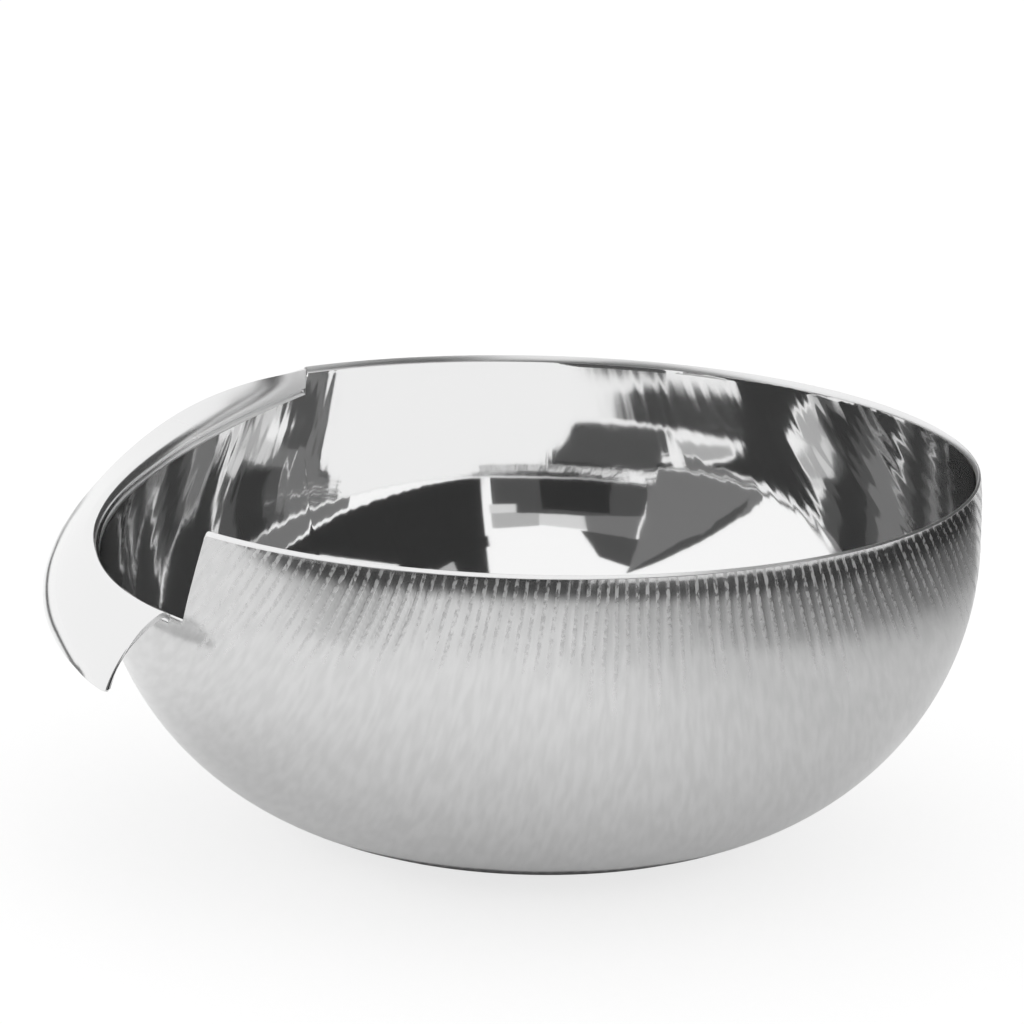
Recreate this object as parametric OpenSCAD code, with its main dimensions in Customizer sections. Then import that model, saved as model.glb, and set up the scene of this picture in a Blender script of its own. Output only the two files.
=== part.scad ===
// Offering bowl: a raised round shell, slit once, with its smooth lip turned outward and down.
// Millimetres, +Z up, origin on the bowl's axis on the table, front of the bowl towards -Y.
// Angles round the bowl start at +X and run anticlockwise seen from above.

/* [Bowl body] */
// Widest outside diameter of the shell
body_width = 222; // [160:0.5:300]
// Height of the shell without its foot disc
body_height = 94.5; // [84:0.5:110]
// Outside radius of the round flank in section
flank_radius = 75; // [60:0.5:85]
// Outside radius of the shallow curve between flank and floor in section
belly_radius = 95; // [80:0.5:140]
// Slope at which the belly's curve ends, in degrees, and a short straight stretch leads to the flank
belly_slope = 12; // [4:0.5:30]
// Radius of the barely leaning top of the wall in section
lean_radius = 500; // [300:10:900]
// Diameter of the flat floor on the outside
floor_width = 60; // [50:0.5:80]
// Thickness of the silver sheet
sheet = 1.3; // [0.8:0.1:2]
// Depth of the eased edge inside the rim
edge_depth = 0.5; // [0.2:0.1:0.7]
// Height of the eased edge inside the rim
edge_height = 1.4; // [0.6:0.1:3]

/* [Foot disc] */
// Diameter of the foot disc
foot_width = 56; // [40:0.5:58]
// Thickness of the foot disc
foot_height = 1.8; // [1.2:0.1:4]
// Size of the bevel round the disc's lower edge
foot_bevel = 0.5; // [0.2:0.1:1]

/* [Fold and slit] */
// Where the fold leaves the rim at the back, degrees round the bowl
fold_start = 125; // [110:1:150]
// Where the fold ends beside the slit, degrees round the bowl
fold_end = 218; // [205:1:225]
// How far the fold has sunk below the rim at its end
fold_drop = 23.7; // [15:0.1:30]
// How soon the fold sinks: 1 is a straight ramp, more sinks early
fold_haste = 2.2; // [1.5:0.1:3]
// Width of the open foot of the slit, degrees round the bowl
slit_foot_angle = 3; // [2:0.5:6]
// Lean of the slit's edge, degrees round the bowl from foot to rim
slit_lean_angle = 4; // [2:0.5:8]
// Radius of the rounded corner where the slit meets the rim
slit_corner = 1.5; // [0.5:0.1:4]

/* [Turned lip] */
// Length of sheet used by the tight bend at the root of the lip
bend_length = 4; // [3:0.1:6]
// Width of the lip beyond the bend, at the slit
lip_width = 23; // [12:0.1:30]
// How much the lip curls from its root to its edge at the slit, degrees
lip_curl = 48; // [30:1:80]
// Radius of the rounded corner at the tip of the lip
tip_corner = 1.2; // [0.5:0.1:4]
// Gap for solder between the lip's root and the wall
solder_gap = 0.05; // [0.02:0.01:0.1]

/* [Hidden] */
$fn = 180;

// Lean of the lip where it leaves the bend, degrees above level, at equal steps along the fold
lip_lean = [90, 48, 14, -10, -24, -31, -35, -37, -36, -31, -23];
// Width of the lip at the same steps, as shares of lip_width
lip_width_shares = [0.05, 0.15, 0.28, 0.39, 0.48, 0.57, 0.66, 0.74, 0.81, 0.89, 1];

// Steps of the lip along the fold, across the bend, across the lip and round its edge
fold_steps = 44;
bend_steps = 6;
lip_steps = 8;
edge_steps = 4;
corner_steps = 5;

// Facets of the wide circle that the leaning top of the wall is part of
lean_facets = 720;

// Everything that is cut runs this far past the piece
overrun = 10;

half_width = body_width / 2;
floor_radius = floor_width / 2;
foot_radius = foot_width / 2;
rim_z = foot_height + body_height;
flank_x = half_width - flank_radius;
lean_x = half_width - lean_radius;
// Width to spare beside the floor once belly and flank have their curves: the straight stretch
// takes it up, and where it is short the flat floor cuts into the curve instead
spare_width = flank_x - floor_radius - (belly_radius - flank_radius) * sin(belly_slope);
stretch = max(0, spare_width) / cos(belly_slope);
cut_width = max(0, -spare_width);
// Height of the widest place of the shell above its floor
widest_z = floor_radius < flank_x + flank_radius * sin(belly_slope)
    ? sqrt(belly_radius ^ 2 - cut_width ^ 2) - (belly_radius - flank_radius) * cos(belly_slope)
        + stretch * sin(belly_slope)
    : sqrt(flank_radius ^ 2 - (floor_radius - flank_x) ^ 2);
flank_centre = [flank_x, widest_z];
slope_down = [sin(belly_slope), -cos(belly_slope)];
slope_along = [cos(belly_slope), sin(belly_slope)];
belly_centre = flank_centre - (belly_radius - flank_radius) * slope_down - stretch * slope_along;

// Lean of sheet that stands straight up, degrees above level
upright = 90;

// Outside radius of the wall at a height over the table, and the wall's own lean there
function wall_rise(z) = z - foot_height - widest_z;
function wall_radius(z) =
    wall_rise(z) > 0 ? lean_x + sqrt(lean_radius ^ 2 - wall_rise(z) ^ 2)
                     : flank_x + sqrt(flank_radius ^ 2 - wall_rise(z) ^ 2);
function wall_lean(z) =
    upright + asin(wall_rise(z) / (wall_rise(z) > 0 ? lean_radius : flank_radius));

// Smooth value at q, from 0 to 1, of a list that holds equal steps
function smooth_at(list, q) =
    let (n = len(list) - 1,
         i = min(n - 1, floor(q * n)),
         t = q * n - i,
         a = list[max(0, i - 1)],
         b = list[i],
         c = list[i + 1],
         d = list[min(n, i + 2)])
    b + t * ((c - a) / 2 + t * (a - 2.5 * b + 2 * c - d / 2 + t * (3 * (b - c) + d - a) / 2));

// The fold at q, from 0 at the back to 1 at the slit
function fold_angle(q) = fold_start + (fold_end - fold_start) * q;
function lean_at(q) = smooth_at(lip_lean, q);
function curl_at(q) = lip_curl * q;
// Depth of the wall's cut top below the rim, at the back, where the strip still stands upright,
// and at the slit, where the crest of the bend stands above it
back_depth = bend_length + lip_width * lip_width_shares[0] + sheet / 2;
slit_depth = fold_drop + bend_length / ((upright - lean_at(1)) * PI / 180);
function seam_z(q) = rim_z - back_depth - (slit_depth - back_depth) * (1 - (1 - q) ^ fold_haste);

// Width of the lip, with its corner at the slit rounded
function lip_width_at(q) =
    let (to_end = (1 - q) * (fold_end - fold_start) * PI / 180 * (half_width + lip_width),
         into = max(0, tip_corner - to_end))
    lip_width * smooth_at(lip_width_shares, q) - tip_corner + sqrt(tip_corner ^ 2 - into ^ 2);

// Points of an arc in section: start, first direction, whole turn clockwise, length and steps
function arc_end(start, lean, turn, long) =
    abs(turn) < 0.01 ? start + long * [cos(lean), sin(lean)]
    : let (r = long / (turn * PI / 180))
      start + r * [sin(lean) - sin(lean - turn), cos(lean - turn) - cos(lean)];

// Middle line of the lip's section at q: rows of radius, height and lean
function middle_line(q) =
    let (z = seam_z(q),
         up = wall_lean(z),
         root = [wall_radius(z) - sheet / 2, z + solder_gap + sheet / 2 * abs(cos(up))],
         turn = up - lean_at(q),
         knee = arc_end(root, up, turn, bend_length),
         curl = curl_at(q),
         wide = lip_width_at(q))
    concat(
        [for (i = [0:bend_steps - 1])
            let (s = i / bend_steps)
            [each arc_end(root, up, s * turn, s * bend_length), up - s * turn]],
        [for (i = [0:lip_steps])
            let (s = i / lip_steps)
            [each arc_end(knee, lean_at(q), s * curl, s * wide), lean_at(q) - s * curl]]);

// Closed ring of the lip's section at q, placed at its angle round the bowl
function lip_ring(q) =
    let (line = middle_line(q),
         last = len(line) - 1,
         half = sheet / 2,
         end = line[last],
         flat_ring = concat(
             [for (p = line) [p.x + half * sin(p.z), p.y - half * cos(p.z)]],
             [for (k = [1:edge_steps - 1])
                 let (a = end.z - 90 + 180 * k / edge_steps)
                 [end.x + half * cos(a), end.y + half * sin(a)]],
             [for (i = [last:-1:0])
                 let (p = line[i])
                 [p.x - half * sin(p.z), p.y + half * cos(p.z)]]),
         a = fold_angle(q))
    [for (p = flat_ring) [p.x * cos(a), p.x * sin(a), p.y]];

// Solid through a list of closed rings that hold the same number of points
module loft(rings) {
    n = len(rings[0]);
    m = len(rings) - 1;
    sides = [for (i = [0:m - 1], j = [0:n - 1])
        let (a = i * n + j, b = i * n + (j + 1) % n)
        each [[a, b, b + n], [a, b + n, a + n]]];
    caps = [[for (j = [n - 1:-1:0]) j], [for (j = [0:n - 1]) m * n + j]];
    polyhedron(points = [for (r = rings) each r], faces = concat(sides, caps));
}

// Steps along the fold, closer together at the tip's rounded corner
corner_share = tip_corner / ((fold_end - fold_start) * PI / 180 * (half_width + lip_width));
fold_rows = concat(
    [for (i = [0:fold_steps]) i / fold_steps * (1 - corner_share)],
    [for (i = [1:corner_steps]) 1 - corner_share * (1 - sin(90 * i / corner_steps))]);

// Angle and height of the wall's cut edge, from the back of the fold to the top of the slit:
// beside the lip a narrow tongue of the wall stands as high as the crest of the bend
slit_top = fold_end + slit_foot_angle + slit_lean_angle;
gap_angle = solder_gap / (half_width * PI / 180);
corner_angle = slit_corner / (half_width * PI / 180);
cut_edge = concat(
    [[fold_start - gap_angle, seam_z(0)]],
    [for (q = fold_rows) [fold_angle(q), seam_z(q)]],
    [[fold_end + gap_angle, seam_z(1)],
     [fold_end + 2 * gap_angle, rim_z - fold_drop],
     [fold_end + slit_foot_angle, rim_z - fold_drop]],
    [for (i = [0:corner_steps])
        let (a = 90 * i / corner_steps)
        [slit_top + corner_angle * (1 - cos(a)), rim_z - slit_corner * (1 - sin(a))]]);

// What is taken off the wall above its cut edge
module wall_cut() {
    inner = half_width - sheet - overrun;
    outer = half_width + overrun;
    loft([for (p = cut_edge)
        [for (c = [[inner, p.y], [outer, p.y], [outer, rim_z + overrun], [inner, rim_z + overrun]])
            [c.x * cos(p.x), c.x * sin(p.x), c.y]]]);
}

// Outline of the shell in section, inset from its outside: floor, belly, straight stretch, flank
// and leaning top. Each runs into the next without a kink, and the floor cuts off what is lower.
module shell_outline(inset) {
    belly_end = belly_centre + (belly_radius - inset) * slope_down;
    belly_side = belly_centre + (belly_radius + overrun) * slope_down;
    intersection() {
        union() {
            square([floor_radius, body_height]);
            intersection() {
                translate(belly_centre) circle(r = belly_radius - inset);
                polygon([[0, belly_side.y], [0, belly_centre.y], belly_centre, belly_side]);
            }
            polygon([[0, widest_z], belly_end, belly_end + stretch * slope_along, flank_centre]);
            translate(flank_centre) circle(r = flank_radius - inset);
            intersection() {
                translate([lean_x, widest_z]) circle(r = lean_radius - inset, $fn = lean_facets);
                translate([0, widest_z]) square([half_width + overrun, body_height]);
            }
        }
        translate([0, inset]) square([half_width + overrun, body_height + overrun]);
    }
}

// Section of the shell, standing on its floor, with the edge eased inside the rim
module shell_section() {
    edge = wall_radius(rim_z) - sheet;
    intersection() {
        difference() {
            shell_outline(0);
            shell_outline(sheet);
            polygon([[edge - overrun, body_height - edge_height], [edge, body_height - edge_height],
                     [edge + edge_depth, body_height], [edge + edge_depth, body_height + overrun],
                     [edge - overrun, body_height + overrun]]);
        }
        square([half_width + overrun, body_height]);
    }
}

// Raised shell: floor and wall in one sheet, slit at the front left, cut down for the lip
module bowl_body() {
    color("silver") difference() {
        translate([0, 0, foot_height]) rotate_extrude() shell_section();
        wall_cut();
    }
}

// Smooth strip that bends over the wall and curls outward and down to its tip at the slit
module turned_lip() {
    color("gainsboro") loft([for (q = fold_rows) lip_ring(q)]);
}

// Flat disc soldered under the floor, bevelled round the edge on which the bowl stands
module foot_disc() {
    color("darkgray") rotate_extrude()
        polygon([[0, 0], [foot_radius - foot_bevel, 0], [foot_radius, foot_bevel],
                 [foot_radius, foot_height], [0, foot_height]]);
}

bowl_body();
turned_lip();
foot_disc();
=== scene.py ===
import math

import bpy
import numpy as np
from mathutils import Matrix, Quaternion, Vector


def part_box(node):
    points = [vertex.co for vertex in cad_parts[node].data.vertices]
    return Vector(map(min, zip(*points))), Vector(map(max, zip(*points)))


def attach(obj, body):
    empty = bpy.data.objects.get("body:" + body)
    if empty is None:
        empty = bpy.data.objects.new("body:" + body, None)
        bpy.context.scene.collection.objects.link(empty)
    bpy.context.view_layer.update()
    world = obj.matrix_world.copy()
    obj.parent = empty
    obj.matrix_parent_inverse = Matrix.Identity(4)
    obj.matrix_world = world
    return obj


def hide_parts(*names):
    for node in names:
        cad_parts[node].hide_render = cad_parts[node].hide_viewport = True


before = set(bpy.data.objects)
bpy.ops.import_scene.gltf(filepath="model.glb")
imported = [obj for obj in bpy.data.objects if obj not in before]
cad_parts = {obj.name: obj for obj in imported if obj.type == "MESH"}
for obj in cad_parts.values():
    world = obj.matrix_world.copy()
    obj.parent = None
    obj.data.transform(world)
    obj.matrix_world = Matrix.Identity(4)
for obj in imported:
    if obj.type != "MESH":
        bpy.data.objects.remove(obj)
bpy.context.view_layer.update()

bl_info = {
    "name": "Offering bowl",
    "version": (1, 0, 0),
    "blender": (4, 5, 0),
    "location": "View3D > Sidebar > Offering bowl",
    "description": "Dresses the packed bowl with its ribbed shell, turned lip, foot disc and stage",
    "category": "Add Mesh",
}

MM = 0.001
_, SHELL_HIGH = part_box("bowl_body")
_, FOOT_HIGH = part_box("foot_disc")
# The shell is this much narrower than the part's box, so that no rib stands out of it
WIDTH_SPARE = 0.06 * MM


# Driving sizes and colours

def length(name, description, default):
    """A size in metres that a user may change."""
    return bpy.props.FloatProperty(
        name=name, description=description, default=default, unit="LENGTH", subtype="DISTANCE")


def angle(name, description, degrees):
    """An angle that a user may change."""
    return bpy.props.FloatProperty(
        name=name, description=description, default=math.radians(degrees), subtype="ANGLE")


def share(name, description, default):
    """A plain number that a user may change."""
    return bpy.props.FloatProperty(name=name, description=description, default=default)


def linear(hex_colour):
    """A linear colour from an sRGB hex value."""
    parts = [int(hex_colour[i:i + 2], 16) / 255 for i in (1, 3, 5)]
    return [c / 12.92 if c <= 0.04045 else ((c + 0.055) / 1.055) ** 2.4 for c in parts]


def colour(name, description, hex_colour):
    """A colour that a user may change."""
    return bpy.props.FloatVectorProperty(
        name=name, description=description, default=linear(hex_colour), subtype="COLOR")


class ShellSizes(bpy.types.PropertyGroup):
    """Sizes of the raised shell."""
    width: length("Width", "Widest outside diameter of the shell", 2 * SHELL_HIGH.x - WIDTH_SPARE)
    rim: length("Rim", "Height of the rim over the table", SHELL_HIGH.z)
    flank: length("Flank radius", "Outside radius of the round flank in section", 75 * MM)
    belly: length("Belly radius", "Outside radius of the curve beside the floor", 95 * MM)
    slope: angle("Belly slope", "Slope at which the belly's curve ends", 12)
    lean: length("Lean radius", "Radius of the barely leaning top of the wall", 500 * MM)
    floor: length("Floor", "Diameter of the flat floor on the outside", 60 * MM)
    sheet: length("Sheet", "Thickness of the silver sheet", 1.3 * MM)
    edge_fall: length("Edge fall", "How far the rim's edge falls outward, most at the front left",
                      0.95 * MM)
    roll: length("Rim roll", "How far the hammered rim rolls inward", 0.45 * MM)
    roll_height: length("Roll height", "Height of the rolled band under the rim", 7 * MM)
    ease_depth: length("Ease depth", "Depth of the eased edge inside the rim", 0.75 * MM)
    ease_height: length("Ease height", "Height of the eased edge inside the rim", 1.5 * MM)
    rib_pitch: length("Rib pitch", "Distance of the ribs on the flat blank", 3.6 * MM)
    rib_depth: length("Rib depth", "Depth of the grooves between the ribs", 0.09 * MM)
    rib_turn: angle("Rib direction", "Direction of the ribs, round the bowl from its right side",
                    -80)


class LipSizes(bpy.types.PropertyGroup):
    """Sizes of the fold, the slit and the turned lip."""
    start: angle("Fold start", "Where the fold leaves the rim at the back", 125)
    end: angle("Fold end", "Where the fold ends beside the slit", 218)
    drop: length("Fold drop", "How far the fold has sunk below the rim at its end", 23.7 * MM)
    haste: share("Fold haste", "How soon the fold sinks; 1 is a straight ramp", 2.2)
    slit_foot: angle("Slit foot", "Width of the open foot of the slit", 3)
    slit_lean: angle("Slit lean", "Lean of the slit's edge from foot to rim", 4)
    slit_corner: length("Slit corner", "Radius of the corner where slit and rim meet", 1.5 * MM)
    bend: length("Bend", "Length of sheet used by the tight bend at the lip's root", 4 * MM)
    width: length("Lip width", "Width of the lip beyond the bend, at the slit", 23 * MM)
    curl: angle("Lip curl", "How much the lip curls from root to edge at the slit", 48)
    tip_corner: length("Tip corner", "Radius of the rounded corner at the tip", 1.2 * MM)
    gap: length("Solder gap", "Gap for solder between the lip's root and the wall", 0.05 * MM)
    round_edge: length("Edge round", "Radius of the rounded edges of the lip", 0.35 * MM)


class FootSizes(bpy.types.PropertyGroup):
    """Sizes of the foot disc."""
    width: length("Foot width", "Diameter of the foot disc", 2 * FOOT_HIGH.x)
    height: length("Foot height", "Thickness of the foot disc", FOOT_HIGH.z)
    bevel: length("Foot bevel", "Bevel round the disc's lower edge", 0.5 * MM)


class SilverLooks(bpy.types.PropertyGroup):
    """Colours of the silver and of the stage."""
    satin: colour("Satin silver", "Crests of the ribbed outside", "#D6D6D6")
    # The groove grey is painted shade that falls in the grooves
    groove: colour("Groove silver", "Bottoms of the grooves, where the satin is greyer", "#CACACA")
    mirror: colour("Mirror silver", "Buffed inside", "#F6F6F6")
    lip: colour("Lip silver", "Soft polish of the turned lip", "#EEEEEE")
    edge: colour("Edge silver", "Filed and burnished edges", "#F0F0F0")
    foot: colour("Foot silver", "Turned face of the foot disc", "#D2D2D2")
    floor: colour("Table", "Lit table under the bowl", "#8E8E8E")
    # Painted shade: the floor cards copy the table with less glow, greyer toward the right
    shade: colour("Floor card", "Floor that only the silver sees, left of the bowl", "#EFEFEF")
    shade_right: colour("Floor card, right", "The same floor, right of the bowl", "#CECECE")
    fade: colour("Fading card", "Inner edge of the card that fades to dark", "#E0E0E0")
    dark: colour("Dark card", "Dark cards that only the silver sees", "#2A2A2A")
    dim: colour("Dim card", "Dark grey cards that only the silver sees", "#4B4B4B")
    grey: colour("Grey card", "Grey cards that only the silver sees", "#727272")
    pale: colour("Pale card", "Light grey cards that only the silver sees", "#B0B0B0")
    light: colour("Light card", "Nearly white cards that only the silver sees", "#D4D4D4")


GROUPS = {"bowl_shell": ShellSizes, "bowl_lip": LipSizes, "bowl_foot": FootSizes,
          "bowl_looks": SilverLooks}

# Lean of the lip where it leaves the bend, degrees above level, at equal steps along the fold
LIP_LEAN = [90, 48, 14, -10, -24, -31, -35, -37, -36, -31, -23]
# Width of the lip at the same steps, as shares of its width at the slit
LIP_WIDTH_SHARES = [0.05, 0.15, 0.28, 0.39, 0.48, 0.57, 0.66, 0.74, 0.81, 0.89, 1]


# Shape of the wall and of the fold, by the same rules as the CAD part

class Wall:
    """Outside of the shell in section, followed by the length along the sheet from its middle."""

    def __init__(self, sizes, foot):
        self.foot = foot
        self.half = sizes.width / 2
        self.floor = sizes.floor / 2
        self.flank, self.belly, self.slope, self.lean = (
            sizes.flank, sizes.belly, sizes.slope, sizes.lean)
        spare = (self.half - self.flank - self.floor
                 - (self.belly - self.flank) * math.sin(self.slope))
        self.stretch = max(0, spare) / math.cos(self.slope)
        self.widest = (foot + self.belly - (self.belly - self.flank) * math.cos(self.slope)
                       + self.stretch * math.sin(self.slope))
        self.belly_from = self.floor
        self.stretch_from = self.belly_from + self.belly * self.slope
        self.flank_from = self.stretch_from + self.stretch
        self.lean_from = self.flank_from + self.flank * (math.pi / 2 - self.slope)

    def at(self, along):
        """Radius, height and the outward direction of the outside, at lengths along the sheet."""
        along = np.asarray(along, float)
        turn = np.select(
            [along < self.belly_from, along < self.stretch_from, along < self.flank_from,
             along < self.lean_from],
            [0 * along, (along - self.belly_from) / self.belly, self.slope + 0 * along,
             self.slope + (along - self.flank_from) / self.flank],
            math.pi / 2 + (along - self.lean_from) / self.lean)
        straight = np.clip(along - self.stretch_from, 0, self.stretch)
        belly_x = self.floor + self.belly * np.sin(turn)
        belly_z = self.foot + self.belly * (1 - np.cos(turn))
        reach = np.select(
            [along < self.belly_from, along < self.flank_from, along < self.lean_from],
            [along, belly_x + straight * math.cos(self.slope),
             self.half - self.flank + self.flank * np.sin(turn)],
            self.half - self.lean + self.lean * np.sin(turn))
        height = np.select(
            [along < self.belly_from, along < self.flank_from, along < self.lean_from],
            [self.foot + 0 * along, belly_z + straight * math.sin(self.slope),
             self.widest - self.flank * np.cos(turn)],
            self.widest - self.lean * np.cos(turn))
        return reach, height, np.sin(turn), -np.cos(turn)

    def along_at(self, height):
        """Length along the sheet at which the flank or the top of the wall has a height."""
        rise = np.asarray(height, float) - self.widest
        return np.where(
            rise > 0, self.lean_from + self.lean * np.arcsin(np.clip(rise / self.lean, 0, 1)),
            self.lean_from - self.flank * np.arcsin(np.clip(-rise / self.flank, 0, 1)))

    def radius(self, height):
        return self.at(self.along_at(height))[0]

    def upright(self, height):
        """Direction of the wall in section at a height, from level and outward, in radians."""
        _, _, out, up = self.at(self.along_at(height))
        return np.arctan2(out, -up)


def smooth_at(values, q):
    """Smooth value at q, from 0 to 1, of a list that holds equal steps."""
    values = np.asarray(values, float)
    last = len(values) - 1
    i = np.minimum(last - 1, np.floor(q * last)).astype(int)
    t = q * last - i
    a, b, c, d = (values[np.clip(i + k, 0, last)] for k in (-1, 0, 1, 2))
    return b + t * ((c - a) / 2 + t * (a - 2.5 * b + 2 * c - d / 2 + t * (3 * (b - c) + d - a) / 2))


SEAM_STEPS, CORNER_STEPS = 60, 7


class Fold:
    """Line on which the lip leaves the wall, and the lip's section along it."""

    def __init__(self, wall, shell, lip):
        self.wall, self.shell, self.lip = wall, shell, lip
        self.back_depth = lip.bend + lip.width * LIP_WIDTH_SHARES[0] + shell.sheet / 2
        self.slit_depth = lip.drop + lip.bend / (math.pi / 2 - math.radians(LIP_LEAN[-1]))
        arc = (lip.end - lip.start) * (wall.half + lip.width)
        self.corner_share = lip.tip_corner / arc
        # The wall's cut is this much wider than the lip at each end, as an angle
        self.hair = 2 * lip.gap / wall.half

    def seam(self, q):
        fall = (self.slit_depth - self.back_depth) * (1 - (1 - q) ** self.lip.haste)
        return self.shell.rim - self.back_depth - fall

    def edge(self):
        """Angles and heights of the wall's top edge from the back of the fold to the whole rim."""
        lip, rim, hair = self.lip, self.shell.rim, self.hair
        q = np.linspace(0, 1, SEAM_STEPS)
        top = lip.end + lip.slit_foot + lip.slit_lean
        corner = lip.slit_corner / self.wall.half
        a = np.linspace(0, math.pi / 2, CORNER_STEPS)
        angles = np.concatenate([
            [lip.start - hair], lip.start + (lip.end - lip.start) * q,
            [lip.end + hair, lip.end + lip.slit_foot], top + corner * (1 - np.cos(a))])
        heights = np.concatenate([
            [rim], self.seam(q), [rim - lip.drop] * 2, rim - lip.slit_corner * (1 - np.sin(a))])
        return angles, heights

    def width(self, q):
        lip = self.lip
        to_end = (1 - q) * (lip.end - lip.start) * (self.wall.half + lip.width)
        into = np.maximum(0, lip.tip_corner - to_end)
        rounded = lip.tip_corner - np.sqrt(lip.tip_corner ** 2 - into ** 2)
        return lip.width * smooth_at(LIP_WIDTH_SHARES, q) - rounded

    def section(self, q, t):
        """Radius and height of the lip's middle line at q along the fold and t across the strip.

        t runs from -1 at the lip's root over 0 after the bend to 1 at its edge.
        """
        z = self.seam(q)
        up = self.wall.upright(z)
        lean = np.radians(smooth_at(LIP_LEAN, q))
        half = self.shell.sheet / 2
        x, y = self.wall.radius(z) - half, z + self.lip.gap + half * np.abs(np.cos(up))
        bent = np.clip(t + 1, 0, 1)
        x, y = arc_end(x, y, up, bent * (up - lean), bent * self.lip.bend)
        out = np.clip(t, 0, 1)
        return arc_end(x, y, np.where(t > 0, lean, up),
                       out * self.lip.curl * q, out * self.width(q))


def arc_end(x, y, lean, turn, long):
    """End of an arc in section from its start, first direction, whole turn and length."""
    small = np.abs(turn) < 1e-6
    r = long / np.where(small, 1, turn)
    return (np.where(small, x + long * np.cos(lean), x + r * (np.sin(lean) - np.sin(lean - turn))),
            np.where(small, y + long * np.sin(lean), y + r * (np.cos(lean - turn) - np.cos(lean))))


# Working by hand in edit mode

def start(add, name, **settings):
    """Deselects everything, adds a primitive and names it."""
    if bpy.context.object and bpy.context.object.mode != "OBJECT":
        bpy.ops.object.mode_set(mode="OBJECT")
    bpy.ops.object.select_all(action="DESELECT")
    add(**settings)
    piece = bpy.context.object
    piece.name = piece.data.name = name
    return piece


def spots(piece):
    """The places of a mesh's vertices as rows of x, y and z."""
    flat = np.empty(3 * len(piece.data.vertices))
    piece.data.vertices.foreach_get("co", flat)
    return flat.reshape(-1, 3)


def place(piece, points):
    """Moves a mesh's vertices."""
    piece.data.vertices.foreach_set("co", np.asarray(points, float).ravel())
    piece.data.update()


def lay_map(piece, name, across, along):
    """Gives a piece a map of two lengths in metres, one row for each vertex."""
    corner = np.empty(len(piece.data.loops), int)
    piece.data.loops.foreach_get("vertex_index", corner)
    layer = piece.data.uv_layers.get(name) or piece.data.uv_layers.new(name=name)
    layer.uv.foreach_set("vector", np.stack([across, along], 1)[corner].ravel())


def dress(piece, *materials):
    for material in materials:
        piece.data.materials.append(material)


def finish_piece(piece, slot, *nodes):
    """Freezes a piece at the origin, lets it ride and hides the parts that it stands for."""
    bpy.ops.object.mode_set(mode="OBJECT")
    bpy.ops.object.transform_apply(location=True, rotation=True, scale=True)
    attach(piece, "root")
    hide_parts(*nodes)


def apply_modifiers(piece):
    for modifier in list(piece.modifiers):
        bpy.ops.object.modifier_apply(modifier=modifier.name)


# Materials

def add_node(tree, kind, settings=None, **links):
    """Adds a node with its settings, and joins its inputs to other nodes' outputs.

    A link's name is the socket's, or _ and the socket's number.
    """
    node = tree.nodes.new(kind)
    for key, value in (settings or {}).items():
        if isinstance(key, str) and key in node.bl_rna.properties:
            setattr(node, key, value)
        else:
            node.inputs[key].default_value = value
    for key, source in links.items():
        socket = int(key[1:]) if key[1:].isdigit() else key.replace("_", " ")
        tree.links.new(source, node.inputs[socket])
    return node


def new_silver(name, colour_value, roughness):
    """A metal with its shader, ready for its patterns."""
    material = bpy.data.materials.new(name)
    material.use_nodes = True
    tree = material.node_tree
    shader = tree.nodes["Principled BSDF"]
    shader.inputs["Base Color"].default_value = (*colour_value, 1)
    shader.inputs["Metallic"].default_value = 1
    shader.inputs["Roughness"].default_value = roughness
    return material, tree, shader


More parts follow.
